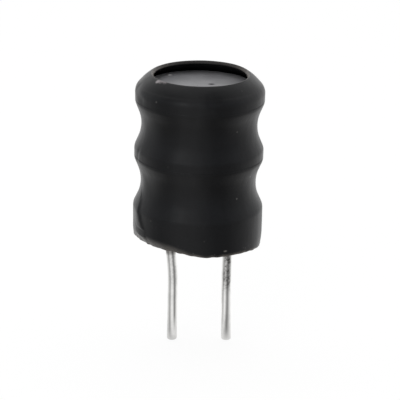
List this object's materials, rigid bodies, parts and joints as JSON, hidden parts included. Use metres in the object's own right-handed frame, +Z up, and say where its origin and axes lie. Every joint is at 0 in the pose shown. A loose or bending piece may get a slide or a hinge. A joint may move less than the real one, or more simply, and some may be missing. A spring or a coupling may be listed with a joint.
{
  "type": "drum core inductor",
  "caption": "Radial leaded drum core inductor: a ferrite drum core and its winding under a waisted black heat-shrink sleeve, with straight tinned leads at the bottom.",
  "frame": {"origin": "on the board's plane, at the lowest point of the sleeve's cut edge, on the core's axis", "axes": "+Z up along the core's axis, away from the board; the leads stand on the X axis and point down; the sleeve's cut edge is higher on the -X side"},
  "size_m": [0.0118, 0.0118, 0.0259],
  "materials": {
    "sleeve": "semi-matte black heat-shrink tube",
    "ferrite": "ground, satin dark grey",
    "enamelled_copper": "clear enamel over copper",
    "tinned_wire": "bright tin",
    "resin": "dark epoxy, glossy",
    "solder": "smooth solder"
  },
  "bodies": {
    "root": {"shrink_sleeve": "sleeve", "drum_core": "ferrite", "coil_winding": "enamelled_copper", "lead_left": "tinned_wire", "lead_right": "tinned_wire", "adhesive_left": "resin", "adhesive_right": "resin", "solder_left": "solder", "solder_right": "solder"}
  },
  "joints": []
}
